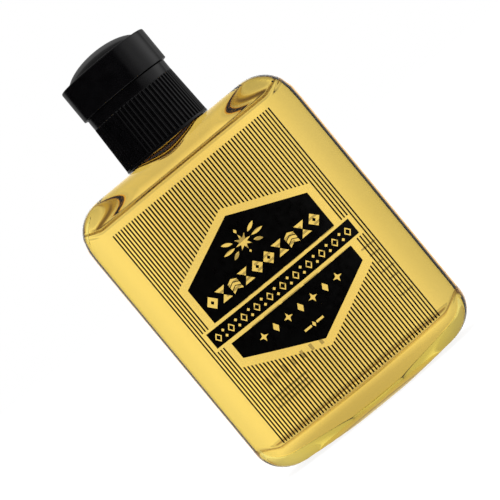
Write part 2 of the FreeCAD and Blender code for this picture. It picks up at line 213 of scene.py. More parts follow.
class Form:
    """The flask's outer form, or its cavity when inset is the wall thickness."""

    def __init__(self, inset, z_low, z_high):
        self.half_width, self.half_depth = HALF_WIDTH - inset, HALF_DEPTH - inset
        self.low_run, self.low_rise = BOTTOM_RUN - inset, BOTTOM_RISE - inset
        self.top_corner = TOP_CORNER - inset
        self.heel, self.shoulder = HEEL_HEIGHT - inset / 2, SHOULDER_HEIGHT - inset / 2
        self.z_low, self.z_high = z_low, z_high
        self.rounding = SIDE_ROUNDING - inset / 2
        self.groove = CREASE_DEPTH if inset == 0 else 0.0

    def lift(self, angle):
        """From 0 over the face to 1 at the sides, where both creases turn up."""
        across = np.abs(self.outline(angle, self.half_width, self.half_depth) * np.cos(angle))
        return eased((across - self.half_width + CREASE_TURN) / CREASE_TURN)

    def crease(self, angle):
        """Height of the shoulder's crease at each angle."""
        return self.z_high - self.shoulder + CREASE_RISE * self.lift(angle)

    def width(self, z):
        above = z - self.z_low
        low = np.clip(1 - (above - BASE_BOW) / self.low_rise, 0, 1)
        top = np.clip(1 - (self.z_high - z) / self.top_corner, 0, 1)
        narrow_low = self.low_run * (1 - np.sqrt(1 - low**2))
        narrow_top = self.top_corner * (1 - np.sqrt(1 - top**2))
        barrel = self.half_width - narrow_low - narrow_top
        bowed = STANDING_HALF + (self.half_width - self.low_run - STANDING_HALF) * above / BASE_BOW
        return np.where(above < BASE_BOW, bowed, barrel)

    def depth(self, z, lift):
        heel, shoulder = self.heel + HEEL_RISE * lift, self.shoulder - CREASE_RISE * lift
        down = np.clip((heel - (z - self.z_low)) / heel, 0, 1)
        up = np.clip(1 - (self.z_high - z) / shoulder, 0, 1)
        in_heel = HEEL_INSET * broken_arc(down, HEEL_BREAK)
        in_shoulder = SHOULDER_INSET * broken_arc(up, SHOULDER_BREAK)
        past_shoulder = (z - (self.z_high - shoulder)) / CREASE_HALF
        past_heel = (z - (self.z_low + heel)) / CREASE_HALF
        groove = self.groove * (np.exp(-(past_shoulder**2)) + HEEL_GROOVE * np.exp(-(past_heel**2)))
        return self.half_depth - in_heel - in_shoulder - groove

    def reach(self, z, angle):
        """Distance from the bottle axis to the wall at height z, looking along angle."""
        return self.outline(angle, self.width(z), self.depth(z, self.lift(angle)))

    def outline(self, angle, width, depth):
        """Polar radius of a section with two wide arcs, flat sides and rounded corners."""
        c, s = np.abs(np.cos(angle)), np.abs(np.sin(angle))
        squeeze = depth / self.half_depth
        side = (self.half_depth - FACE_RADIUS + np.sqrt(FACE_RADIUS**2 - width**2)) * squeeze
        sag = depth - side
        radius = (width**2 + sag**2) / (2 * sag)
        drop = radius - depth
        r = self.rounding * squeeze
        corner_x = width - r
        corner_y = np.sqrt((radius - r) ** 2 - corner_x**2) - drop
        scale = radius / (radius - r)
        touch_x, touch_y = corner_x * scale, (corner_y + drop) * scale - drop
        flat = width / np.maximum(c, 1e-9)
        inside = np.maximum(r * r - (s * corner_x - c * corner_y) ** 2, 0)
        bend = c * corner_x + s * corner_y + np.sqrt(inside)
        wide = np.sqrt(np.maximum(radius**2 - (c * drop) ** 2, 0)) - s * drop
        return np.where(s * width <= c * corner_y, flat, np.where(s * touch_x >= c * touch_y, wide, bend))


def flask_angles():
    """Angles whose wall points are evenly spaced around the barrel, denser at the rounded sides."""
    dense = np.linspace(0, 2 * math.pi, 20001)
    rho = Form(0, 0, HEIGHT).reach(np.full_like(dense, HEIGHT / 2), dense)
    x, y = rho * np.cos(dense), rho * np.sin(dense)
    step = np.hypot(np.diff(x), np.diff(y))
    turn = np.abs(np.diff(np.unwrap(np.arctan2(np.diff(y), np.diff(x))), append=0.0))
    weight = step + 2.5 * turn
    along = np.concatenate([[0.0], np.cumsum(weight)])
    return np.interp(np.linspace(0, along[-1], FLASK_COLUMNS, endpoint=False), along, dense)


def shoulder_curve(form, angle, foot_radius, neck_radius, neck_z, count, ripples=0.0):
    """One column from the shoulder's crease, up the shoulder, across, and round into the neck."""
    crease = float(form.crease(np.array([angle]))[0])
    swing = np.linspace(0, math.pi / 2, 241)
    z = form.z_high - (form.z_high - crease) * (1 - np.sin(swing))
    rho = form.reach(z, np.full_like(z, angle))
    keep = rho > foot_radius
    if not keep.all():
        stop = int(np.argmin(keep))
        share = (rho[stop - 1] - foot_radius) / (rho[stop - 1] - rho[stop])
        z_foot = z[stop - 1] + (z[stop] - z[stop - 1]) * share
        slope = (z[stop] - z[stop - 1]) / (rho[stop - 1] - rho[stop])
        rho, z = np.append(rho[:stop], foot_radius), np.append(z[:stop], z_foot)
    else:
        slope = 0.0
        flat = np.linspace(rho[-1], foot_radius, 60)[1:]
        rho, z = np.append(rho, flat), np.append(z, np.full_like(flat, form.z_high))
    knee = min(z[-1] + slope * (foot_radius - neck_radius), neck_z - 0.2)
    t = np.linspace(0, 1, 80)[1:]
    ripple = ripples * np.sin(2 * math.pi * RIPPLE_COUNT * t) * np.sin(math.pi * t)
    rho = np.append(rho, bent(t, foot_radius, neck_radius, neck_radius) + ripple)
    z = np.append(z, bent(t, z[-1], knee, neck_z))
    return arc_resample(rho, z, count)


def wall_rings(form, angles, *shoulder):
    """Rings from the edge of the base up to the foot of the neck, close together along both creases."""
    heel = form.z_low + form.heel + HEEL_RISE * form.lift(angles)
    crease = form.crease(angles)
    swing = 1 - np.cos(np.linspace(0, math.pi / 2, 24))
    near = np.linspace(-1.1, 1.1, 17)
    rings = [form.z_low + (heel - 1.25 - form.z_low) * s for s in swing]
    rings += [heel + d for d in near]
    barrel = np.linspace(0, 1, 22)[1:-1]
    rings += [heel + 1.1 + (crease - 1.1 - heel - 1.1) * s for s in barrel]
    rings += [crease + d for d in near[:9]]
    heights = np.array(rings)
    radii = form.reach(heights, angles[None, :])
    columns = [shoulder_curve(form, a, *shoulder) for a in angles]
    rho = np.array([c[0] for c in columns]).T
    z = np.array([c[1] for c in columns]).T
    return np.vstack([radii, rho[1:]]), np.vstack([heights, z[1:]])


def thread_height(angles, z, start, turns):
    """How far the helical ridge stands proud, from 0 to 1, at each angle and height."""
    best = np.zeros(np.broadcast(angles, z).shape)
    for lap in range(-1, int(turns) + 2):
        travel = (angles + 2 * math.pi * lap) / (2 * math.pi)
        centre = start + PITCH * travel
        off = np.abs(z - centre)
        ridge = eased((THREAD_ROOT - off) / (THREAD_ROOT - THREAD_CREST))
        fade = np.clip(travel / 0.06, 0, 1) * np.clip((turns - travel) / 0.06, 0, 1)
        best = np.maximum(best, ridge * fade)
    return best


def scaled_rings(form, angles, height, shares):
    """Rings across the base, as shares of the form's lowest outline, with a height for each share."""
    edge = form.reach(np.full(len(angles), form.z_low), angles)
    return np.array([edge * s for s in shares]), all_round([height(s) for s in shares], len(angles))


def outer_base(form, angles):
    """The standing ring and the shallow push-up inside it, whose slope has the closest rings."""

    def height(share):
        return PUSH_UP * eased((PUSH_UP_EDGE - share) / PUSH_UP_BLEND) + 0.001 * (1 - share)

    slope = np.linspace(0.58, 0.74, 12)
    shares = np.concatenate([np.linspace(FIRST_RING, 0.56, 8), slope, np.linspace(0.78, LAST_RING, 6)])
    return scaled_rings(form, angles, height, shares)


def inner_base(form, angles):
    """The slightly crowned floor of the cavity."""

    def height(share):
        return form.z_low + FLOOR_CROWN * (1 - share * share) - FLOOR_CROWN * (1 - LAST_RING**2)

    return scaled_rings(form, angles, height, np.linspace(LAST_RING, FIRST_RING, 16))


def mark(piece, name, rows, count, poles):
    """Stores one value per vertex of a turned grid, given row by row and for its two pole points."""
    layer = piece.data.attributes.new(name, "FLOAT", "POINT")
    layer.data.foreach_set("value", np.concatenate([np.repeat(rows, count), poles]))


def outer_neck(angles):
    """The outside of the neck with its thread, from the root up to just below the lip."""
    root = np.linspace(NECK_ROOT_TOP, NECK_START, 7)[1:]
    levels = np.concatenate([root, np.linspace(NECK_START, LIP - 0.5, 96)[1:]])
    plain = NECK_RADIUS + (NECK_ROOT_RADIUS - NECK_RADIUS) * np.clip((NECK_START - levels), 0, 1) ** 1.5
    heights = all_round(levels, len(angles))
    ridge = thread_height(angles[None, :], heights, NECK_THREAD_START, NECK_THREAD_TURNS)
    return plain[:, None] + THREAD_HEIGHT * ridge, heights


def cavity_form():
    return Form(WALL, BASE, HEIGHT - WALL)


def cavity_wall(angles):
    """The cavity's side, shoulder and flare, up to where the bore starts."""
    return wall_rings(cavity_form(), angles, CAVITY_FOOT, NECK_BORE, HEIGHT - WALL + BORE_FLARE, 40)


def bottle_glass():
    """The flask as one closed glass solid: outside, lip, bore and cavity."""
    outer = Form(0, 0, HEIGHT)
    angles, count = flask_angles(), FLASK_COLUMNS
    wall = wall_rings(outer, angles, SHOULDER_FOOT, NECK_ROOT_RADIUS, NECK_ROOT_TOP, 84, RIPPLE_DEPTH)
    lip_corners = [(NECK_RADIUS, LIP - 0.5, 0), (NECK_RADIUS, LIP, 0.5)]
    lip_corners += [(NECK_BORE, LIP, 0.5), (NECK_BORE, LIP - 0.6, 0)]
    lip = [rings[1:] for rings in profile_rings(lip_corners, 7, count)]
    outside = [outer_base(outer, angles), wall, outer_neck(angles), lip]
    bore_levels = np.linspace(LIP - 0.6, HEIGHT - WALL + BORE_FLARE, 24)[1:-1]
    bore_z = all_round(bore_levels, count)
    cavity_r, cavity_z = cavity_wall(angles)
    floor = inner_base(cavity_form(), angles)
    bore = np.full_like(bore_z, NECK_BORE), bore_z
    radii, heights = stacked([*outside, bore, (cavity_r[::-1], cavity_z[::-1]), floor])
    piece = lathe_grid("bottle_glass", radii, heights, angles, (PUSH_UP + 0.001, BASE + FLOOR_CROWN))
    dry = np.zeros(sum(len(part[0]) for part in outside))
    in_bore = (bore_levels < FILL).astype(float)
    wetted = np.ones(len(cavity_r) + len(floor[0]))
    mark(piece, "wetted", np.concatenate([dry, in_bore, wetted]), count, (0.0, 1.0))
    return smooth(piece)


def liquid_body():
    """The liquid, which wets the cavity wall: its skin lies a hair inside the glass."""
    angles, count = flask_angles(), FLASK_COLUMNS
    floor_r, floor_z = inner_base(cavity_form(), angles)
    cavity_r, cavity_z = cavity_wall(angles)
    neck_z = all_round(np.linspace(HEIGHT - WALL + BORE_FLARE, FILL, 8)[1:], count)
    neck_r = np.full_like(neck_z, NECK_BORE)
    shares = np.linspace(1, FIRST_RING, 14)[1:]
    sag = MENISCUS * (1 - np.exp(-(1 - shares) * 9))
    surface_r, surface_z = all_round(NECK_BORE * shares, count), all_round(FILL - sag, count)
    radii = np.vstack([floor_r[::-1], cavity_r + WETTING, neck_r + WETTING, surface_r])
    heights = np.vstack([floor_z[::-1] - WETTING, cavity_z, neck_z, surface_z])
    poles = BASE + FLOOR_CROWN - WETTING, FILL - MENISCUS
    piece = lathe_grid("aftershave_fill", radii, heights, angles, poles)
    held = np.zeros(len(floor_r) + len(cavity_r) + len(neck_r))
    mark(piece, "open_surface", np.concatenate([held, np.ones(len(shares))]), count, (0.0, 1.0))
    return smooth(piece)


# ---- the closure's form


def rib_columns():
    """Angles around the closure, twelve to a rib and closer together on the flanks."""
    offsets = np.array([-0.5, -0.38, -0.33, -0.28, -0.22, -0.12, 0, 0.12, 0.22, 0.28, 0.33, 0.38])
    return ((np.arange(RIBS)[:, None] + offsets[None, :]) * (2 * math.pi / RIBS)).ravel()


def ribbed(angles, z):
    """Outer radius of the ribbed skirt at each angle and height, with the grooves run out at the top."""
    pitch = 2 * math.pi / RIBS
    off = np.abs(angles / pitch - np.round(angles / pitch))
    groove = eased((off - 0.03) / 0.44)
    up = (z - FLANGE_TOP) / (RIBS_TOP - FLANGE_TOP)
    tip = TIP_LOW + (TIP_TOP - TIP_LOW) * up
    run_out = np.clip((RIBS_TOP - z) / 0.3, 0, 1)
    return tip - RIB_DEPTH * groove * np.sqrt(1 - (1 - run_out) ** 2)


def cap_base_shell():
    """Closure base: flange, ribs, band, deck ring, spout, orifice and threaded bore in one closed skin."""
    angles = rib_columns()
    count = len(angles)
    flange_corners = [
        (SKIRT_BORE + 0.6, CAP_BOTTOM, 0),
        (FLANGE_RADIUS, CAP_BOTTOM, 0.22),
        (FLANGE_RADIUS, FLANGE_TOP, 0.22),
        (TIP_LOW - RIB_DEPTH - 0.05, FLANGE_TOP, 0),
    ]
    flange = profile_rings(flange_corners, 4, count)
    levels = np.concatenate([[FLANGE_TOP + 0.02], np.linspace(FLANGE_TOP + 0.4, RIBS_TOP - 0.7, 6)])
    levels = np.concatenate([levels, np.linspace(RIBS_TOP - 0.3, RIBS_TOP, 8)])
    rib_z = all_round(levels, count)
    ribs = ribbed(angles[None, :], rib_z), rib_z
    top_corners = [
        (BAND_RADIUS, RIBS_TOP + 0.12, 0),
        (BAND_RADIUS, BAND_TOP, 0.2),
        (DECK_RING, BAND_TOP, 0.15),
        (DECK_RING, DECK_RING_TOP, 0.2),
        (DECK_RING_BORE, DECK_RING_TOP, 0.2),
        (DECK_RING_BORE, BAND_TOP, 0.3),
        (SPOUT_BASE + 0.1, BAND_TOP, 0.6),
        (SPOUT_TIP + 0.08, SPOUT_TOP - 0.7, 0.5),
        (SPOUT_TIP, SPOUT_TOP, 0.35),
        (ORIFICE, SPOUT_TOP, 0.2),
        (ORIFICE, DECK_UNDERSIDE + 0.8, 0.2),
        (ORIFICE + 0.8, DECK_UNDERSIDE, 0.1),
        (LINER_SEAT, DECK_UNDERSIDE, 0.1),
        (LINER_SEAT, LIP - 0.6, 0.2),
        (SKIRT_BORE, LIP - 1.2, 0),
    ]
    top = profile_rings(top_corners, 5, count)
    bore_z = all_round(np.linspace(LIP - 1.4, CAP_BOTTOM + 0.9, 70), count)
    turn = angles[None, :] % (2 * math.pi)
    ridge = thread_height(turn, bore_z, NECK_THREAD_START - PITCH / 2, CAP_THREAD_TURNS)
    bore = SKIRT_BORE - THREAD_HEIGHT * ridge, bore_z
    end_corners = [(SKIRT_BORE, CAP_BOTTOM + 0.8, 0), (SKIRT_BORE + 0.5, CAP_BOTTOM + 0.15, 0)]
    end = profile_rings(end_corners, 4, count)
    radii, heights = stacked((flange, ribs, top, bore, end))
    return smooth(lathe_grid("cap_base_shell", radii, heights, angles, closed=True), 38)


def dome_points(rim_radius, rim_z, shrink, count):
    """The lid's flattened dome from its rim to just short of the middle."""
    width = DOME_ELLIPSE - shrink
    height = DOME_HEIGHT / (1 - math.sqrt(1 - (DOME_RADIUS / DOME_ELLIPSE) ** 2))
    low = rim_z - height * math.sqrt(1 - (rim_radius / width) ** 2)
    swing = np.linspace(math.acos(rim_radius / width), math.pi / 2, count)[:-1]
    return [(width * math.cos(a), low + height * math.sin(a), 0) for a in swing], low + height


def lid_shell():
    """Flip lid: skirt, rounded rim, domed top, and the sealing plug under the roof."""
    inside, _ = dome_points(DOME_RADIUS - 1.2, LID_ROOF, 1.2, 16)
    outside, apex = dome_points(DOME_RADIUS, LID_RIM, 0, 22)
    roof = [p for p in inside if p[0] > PLUG_ROOT + 0.3][::-1]
    corners = [
        (PLUG_TIP_RADIUS * 0.3, PLUG_TIP, 0),
        (PLUG_TIP_RADIUS, PLUG_TIP, 0.25),
        (PLUG_SEAL, SPOUT_TOP, 0.2),
        (PLUG_ROOT, SPOUT_TOP + 1.2, 0.3),
        (PLUG_ROOT, roof[0][1] - 0.02, 0.3),
        *roof,
        (LID_BORE, LID_ROOF, 0.4),
        (LID_BORE, LID_BOTTOM, 0.1),
        (LID_RADIUS, LID_BOTTOM, 0.18),
        (LID_RADIUS, LID_RIM, 0.55),
        *outside,
    ]
    piece = turned("lid_shell", corners, count=LID_COLUMNS, steps=7, poles=(PLUG_TIP, apex))
    return smooth(piece, 50)


def bevelled_box(name, low, high, bevel):
    """A small block with rounded edges, from its lowest to its highest corner in millimetres."""
    work = bmesh.new()
    bmesh.ops.create_cube(work, size=1.0)
    size = Vector(high) - Vector(low)
    centre = (Vector(high) + Vector(low)) / 2
    work.transform(Matrix.Translation(centre * MM) @ Matrix.Diagonal((*(size * MM), 1.0)))
    bmesh.ops.bevel(work, geom=work.edges[:], offset=bevel * MM, segments=3, affect="EDGES", profile=0.5)
    mesh = bpy.data.meshes.new(name)
    work.to_mesh(mesh)
    work.free()
    return smooth(placed(name, mesh), 30)


def hinge_pad(name, root_radius, z_low):
    """The block behind the band or the lid that the film grows out of."""
    low = (-HINGE_WIDTH / 2, root_radius - 0.6, z_low)
    return bevelled_box(name, low, (HINGE_WIDTH / 2, HINGE_Y, z_low + HINGE_PAD), 0.28)


def hinge_film():
    """The flexing web at the back, finely divided along its height."""
    reach = HINGE_GAP + 0.3
    steps = 24
    points, faces = [], []
    for i in range(steps + 1):
        z = HINGE_Z - reach + 2 * reach * i / steps
        for x in (-HINGE_WIDTH / 2 + 0.15, HINGE_WIDTH / 2 - 0.15):
            points += [(x, HINGE_Y - HINGE_FILM, z), (x, HINGE_Y - 0.02, z)]
    for i in range(steps):
        a, b = 4 * i, 4 * (i + 1)
        faces += [(a, a + 2, b + 2, b), (a + 1, b + 1, b + 3, a + 3)]
        faces += [(a, b, b + 1, a + 1), (a + 2, a + 3, b + 3, b + 2)]
    last = 4 * steps
    faces += [(0, 1, 3, 2), (last, last + 2, last + 3, last + 1)]
    return smooth(new_object("hinge_web", points, faces), 30)


def liner_ring():
    """The soft ring between the lip and the deck."""
    corners = [
        (LINER_BORE, LIP + 0.02, 0),
        (LINER_RADIUS, LIP + 0.02, 0.15),
        (LINER_RADIUS, DECK_UNDERSIDE - 0.02, 0.15),
        (LINER_BORE, DECK_UNDERSIDE - 0.02, 0.15),
        (LINER_BORE, LIP + 0.1, 0),
    ]
    return smooth(turned("liner_ring", corners, closed=True), 40)


# ---- label artwork

FRONT, BACK = -1, 1
FACE_OFFSET = FACE_RADIUS - HALF_DEPTH
FILM_RADIUS = FACE_RADIUS + 0.05
INK_RADIUS = FACE_RADIUS + 0.07


def wrap(points, radius, facing):
    """Carries flat artwork (x across, z up) onto the curved face, FRONT or BACK."""
    points = np.asarray(points, float)
    depth = np.sqrt(radius**2 - points[:, 0] ** 2) - FACE_OFFSET
    return np.stack([-facing * points[:, 0], facing * depth, points[:, 1]], -1)


def flat_shapes(outlines):
    """Flat points and triangles that fill closed outlines, where an outline inside another is a hole."""
    curve = bpy.data.curves.new("artwork", "CURVE")
    curve.dimensions = "2D"
    curve.fill_mode = "BOTH"
    for outline in outlines:
        line = curve.splines.new("POLY")
        line.points.add(len(outline) - 1)
        for point, (x, z) in zip(line.points, outline):
            point.co = (x, z, 0, 1)
        line.use_cyclic_u = True
    holder = bpy.data.objects.new("artwork", curve)
    mesh = bpy.data.meshes.new_from_object(holder)
    bpy.data.objects.remove(holder)
    bpy.data.curves.remove(curve)
    work = bmesh.new()
    work.from_mesh(mesh)
    bpy.data.meshes.remove(mesh)
    bmesh.ops.remove_doubles(work, verts=work.verts[:], dist=1e-4)
    reach = max(abs(v.co.x) for v in work.verts)
    for i in range(-int(reach), int(reach) + 1):
        bmesh.ops.bisect_plane(
            work, geom=work.verts[:] + work.edges[:] + work.faces[:], plane_co=(i, 0, 0), plane_no=(1, 0, 0)
        )
    bmesh.ops.triangulate(work, faces=work.faces[:])
    work.verts.index_update()
    points = [(v.co.x, v.co.y) for v in work.verts]
    faces = [tuple(v.index for v in f.verts) for f in work.faces]
    work.free()
    return points, faces


def printed(name, outlines, facing):
    """Ink printed on one face from flat outlines."""
    points, faces = flat_shapes(outlines)
    return new_object(name, wrap(points, INK_RADIUS, facing), faces)


# outlines, in millimetres across and up


def block(x, z, width, height):
    return [(x + i * width / 2, z + j * height / 2) for i, j in ((-1, -1), (1, -1), (1, 1), (-1, 1))]


def lozenge(x, z, width, height):
    return [(x, z - height / 2), (x + width / 2, z), (x, z + height / 2), (x - width / 2, z)]


def star(x, z, outer, inner, points, tilt=0.0):
    out = []
    for i in range(2 * points):
        a = math.pi * i / points + math.pi / 2 + tilt
        r = outer if i % 2 == 0 else inner
        out.append((x + r * math.cos(a), z + r * math.sin(a)))
    return out


def petal(x, z, length, width, direction, steps=8):
    """A leaf shape that starts at (x, z) and points along direction, in degrees."""
    a = math.radians(direction)
    along, across = (math.cos(a), math.sin(a)), (-math.sin(a), math.cos(a))
    t = [i / steps for i in range(steps + 1)]
    side = [width / 2 * math.sin(math.pi * s) ** 0.8 for s in t]
    right = [(length * s, -w) for s, w in zip(t, side)]
    left = [(length * s, w) for s, w in zip(t, side)][1:-1][::-1]
    return [(x + u * along[0] + v * across[0], z + u * along[1] + v * across[1]) for u, v in right + left]


CUT_HALF, CUT_TOP, CUT_UPPER, CUT_LOWER, CUT_BOTTOM = 21.4, 65.1, 55.7, 30.2, 20.5
FRAME_HALF, FRAME_TOP, FRAME_BOTTOM = 24.0, 43.2, 37.2
STRIPES, STRIPE_SPAN, STRIPE_SHARE = 55, 26.6, 0.45
STRIPE_LOW, STRIPE_TOP = 8.4, 77.0
PANEL_HALF = 19.65
FRONT_FILM, BACK_FILM = (26.6, 7.9, 77.4), (23.0, 12.0, 72.0)
BACK_TEXT_HALF, BACK_ROW = 16.5, 1.75


def cut_out_edges(x):
    """Lower and upper edge of the clear shape at x, or None outside it."""
    x = abs(x)
    if x <= CUT_HALF:
        share = x / CUT_HALF
        return CUT_BOTTOM + (CUT_LOWER - CUT_BOTTOM) * share, CUT_TOP + (CUT_UPPER - CUT_TOP) * share
    if x <= FRAME_HALF:
        return FRAME_BOTTOM, FRAME_TOP
    return None


def stripes():
    """Fine upright stripes over the whole face, interrupted by the clear shape in the middle."""
    points, faces = [], []
    pitch = 2 * STRIPE_SPAN / (STRIPES - 1 + STRIPE_SHARE)
    first = -STRIPE_SPAN + pitch * STRIPE_SHARE / 2
    foot, head = (STRIPE_LOW, STRIPE_LOW), (STRIPE_TOP, STRIPE_TOP)

    def strip(left, right, low, high):
        start = len(points)
        points.extend([(left, low[0]), (right, low[1]), (right, high[1]), (left, high[0])])
        faces.append((start, start + 1, start + 2, start + 3))

    for i in range(STRIPES):
        arc = first + i * pitch
        half = pitch * STRIPE_SHARE / 2
        left, right = [FACE_RADIUS * math.sin((arc + s * half) / FACE_RADIUS) for s in (-1, 1)]
        gap = cut_out_edges((left + right) / 2)
        if gap is None:
            strip(left, right, foot, head)
            continue
        if abs(left + right) / 2 > CUT_HALF:
            low = high = gap
        else:
            low, high = cut_out_edges(left), cut_out_edges(right)
        strip(left, right, foot, (low[0], high[0]))
        strip(left, right, (low[1], high[1]), head)
    return new_object("front_print_stripes", wrap(points, INK_RADIUS, FRONT), faces)


def emblem(x, z):
    """A plain rosette between two sprays of leaves."""
    shapes = [star(x, z, 2.3, 1.0, 8), lozenge(x, z + 3.3, 0.9, 1.3), lozenge(x, z - 2.95, 0.7, 0.8)]
    for side in (-1, 1):
        for length, lean in ((3.5, 0), (3.1, 27), (2.5, -27)):
            direction = lean if side > 0 else 180 - lean
            a = math.radians(direction)
            shapes.append(petal(x + 2.7 * math.cos(a), z + 2.7 * math.sin(a), length, 0.95, direction))
    return shapes


def chevron(x, z, width, height, stroke):
    """A thick arrowhead that points up."""
    half = width / 2
    return [
        (x - half, z - height / 2),
        (x, z + height / 2 - stroke),
        (x + half, z - height / 2),
        (x + half, z - height / 2 + stroke),
        (x, z + height / 2),
        (x - half, z - height / 2 + stroke),
    ]


def ornament(kind, x, z, width, height):
    """One plain ornament of a frieze, in a cell of that width and height."""
    if kind == "lozenge":
        return [lozenge(x, z, width * 1.04, height * 1.04), lozenge(x, z, width * 0.32, height * 0.32)]
    if kind == "hourglass":
        half = width * 0.46
        return [
            [(x - half, z + height / 2), (x, z + height * 0.03), (x + half, z + height / 2)],
            [(x - half, z - height / 2), (x + half, z - height / 2), (x, z - height * 0.03)],
        ]
    step = height * 0.29
    return [chevron(x, z + d, width * 0.86, height * 0.42, height * 0.22) for d in (step, 0, -step)]


def frieze(z, half, height, kinds):
    """A row of plain ornaments over the given width, named from the left."""
    pitch = 2 * half / len(kinds)
    shapes = []
    for i, kind in enumerate(kinds):
        shapes += ornament(kind, -half + pitch * (i + 0.5), z, pitch * 0.9, height)
    return shapes


def upper_panel():
    """The panel above the banner, with the rosette over a row of plain ornaments."""
    shape = [(-PANEL_HALF, 43.4), (PANEL_HALF, 43.4), (PANEL_HALF, 54.2), (0, 62.9), (-PANEL_HALF, 54.2)]
    half_row = ["lozenge", "hourglass", "chevrons", "hourglass", "lozenge"]
    row = frieze(47.85, 18.5, 3.7, half_row + half_row)
    return printed("front_print_upper_panel", [shape, *emblem(-0.6, 55.0), *row], FRONT)


def banner():
    """The banner across the middle, with a fine row of outlined lozenges knocked out of it."""
    shapes = [block(0, 40.2, 46.7, 4.6)]
    cells, half = 21, 22.3
    pitch = 2 * half / cells
    for i in range(cells):
        x = -half + pitch * (i + 0.5)
        if i % 2 == 0:
            shapes += [lozenge(x, 40.0, pitch * 0.96, 2.6), lozenge(x, 40.0, pitch * 0.62, 1.65)]
        else:
            shapes += [lozenge(x, 40.0 + d, pitch * 0.42, 0.95) for d in (-0.85, 0.85)]
    return printed("front_print_banner", shapes, FRONT)


def lower_panel():
    """The panel below the banner, with a row of stars and lozenges over a small mark."""
    shape = [(-PANEL_HALF, 36.8), (-PANEL_HALF, 32.0), (0, 22.8), (PANEL_HALF, 32.0), (PANEL_HALF, 36.8)]
    ornaments = []
    for i in range(-3, 4):
        x = 4.0 * i
        ornaments.append(star(x, 32.95, 1.35, 0.5, 4) if i % 2 else lozenge(x, 32.95, 1.7, 2.7))
    small = [block(-1.9, 27.55, 2.2, 0.6), block(1.9, 27.55, 2.2, 0.6), lozenge(0, 27.55, 1.0, 1.6)]
    return printed("front_print_lower_panel", [shape, *ornaments, *small], FRONT)


def back_print():
    """Plain rows of bars where the small print would be."""
    shapes = [block(0, 55.2, 20.0, 1.2), block(0, 52.4, 26.0, 1.2)]
    for row in range(9):
        z = 49.6 - BACK_ROW * row
        left = -BACK_TEXT_HALF
        for bar in range(7):
            width = 2.6 + 2.6 * abs(math.sin(2.3 * bar + 1.7 * row))
            if left + width > BACK_TEXT_HALF:
                break
            shapes.append(block(left + width / 2, z, width, 0.62))
            left += width + 0.9
    for i, tall in enumerate((2.6, 1.9, 2.2, 1.9, 2.6, 2.0, 2.3)):
        shapes.append(block(2.4 + 2.5 * i, 21.8, 0.8, tall))
    for row in range(3):
        shapes.append(block(14.5 - 0.6 * (row % 2), 17.6 - 1.4 * row, 10.6 - 2.4 * (row % 2), 0.55))
    for row in range(7):
        shapes.append(block(-20.0, 33.0 - 2.6 * row, 4.2 - 1.3 * (row % 3), 0.5))
    return printed("back_print", shapes, BACK)


def film(name, size, facing):
    """The clear film that carries the print: a rounded rectangle on the curved face."""
    half, z_low, z_high = size
    edge = FACE_RADIUS * math.sin(half / FACE_RADIUS)
    corner, outline = 1.5, []
    x, low, high = edge - corner, z_low + corner, z_high - corner
    for i, (cx, cz) in enumerate(((x, high), (-x, high), (-x, low), (x, low))):
        for step in range(7):
            a = math.radians(90 * i + 15 * step)
            outline.append((cx + corner * math.cos(a), cz + corner * math.sin(a)))
    points, faces = flat_shapes([outline])
    return smooth(new_object(name, wrap(points, FILM_RADIUS, facing), faces))


# ---- materials


class Graph:
    """One node tree, with short ways to add the nodes that the looks and the studio share."""

    def __init__(self, tree):
        self.nodes, self.links = tree.nodes, tree.links

    def feed(self, socket, value):
        """Sets the socket to a value or links another node's output to it."""
        if isinstance(value, bpy.types.NodeSocket):
            self.links.new(value, socket)
        else:
            socket.default_value = value

    def add(self, kind, result, **inputs):
        """A new node with these inputs, by its output of that name."""
        node = self.nodes.new("ShaderNode" + kind)
        for name, value in inputs.items():
            self.feed(node.inputs[name], value)
        return node.outputs[result]

    def split(self, vector):
        return self.add("SeparateXYZ", "X", Vector=vector).node.outputs

    def maths(self, operation, *values):
        node = self.nodes.new("ShaderNodeMath")
        node.operation = operation
        for socket, value in zip(node.inputs, values):
            self.feed(socket, value)
        return node.outputs[0]

    def mix(self, kind, factor, otherwise, value):
        """Goes from otherwise to value, both of one kind, as factor goes from 0 to 1."""
        node = self.nodes.new("ShaderNodeMix")
        node.data_type = kind
        self.feed(node.inputs["Factor"], factor)
        self.feed(node.inputs["A"], otherwise)
        self.feed(node.inputs["B"], value)
        return node

    def ranged(self, value, low, high, start=0.3, end=0.7, easing="LINEAR"):
        """Carries value from start and end onto low and high, and stops there."""
        node = self.nodes.new("ShaderNodeMapRange")
        node.interpolation_type = easing
        for name, number in (("From Min", start), ("From Max", end), ("To Min", low), ("To Max", high)):
            node.inputs[name].default_value = number
        self.links.new(value, node.inputs["Value"])
        return node.outputs["Result"]

    def ramp(self, share, stops):
        """Colours along share, as stops of (share, colour)."""
        node = self.nodes.new("ShaderNodeValToRGB")
        steps = node.color_ramp.elements
        while len(steps) < len(stops):
            steps.new(0.5)
        for step, (at, colour) in zip(steps, stops):
            step.position = at
            step.color = (*colour, 1)
        self.links.new(share, node.inputs["Fac"])
        return node.outputs["Color"]

    def banded(self, value, start, end, stops):
        """Colours along value from start to end, as stops of (value, colour)."""
        shares = [((at - start) / (end - start), colour) for at, colour in stops]
        return self.ramp(self.ranged(value, 0.0, 1.0, start, end), shares)


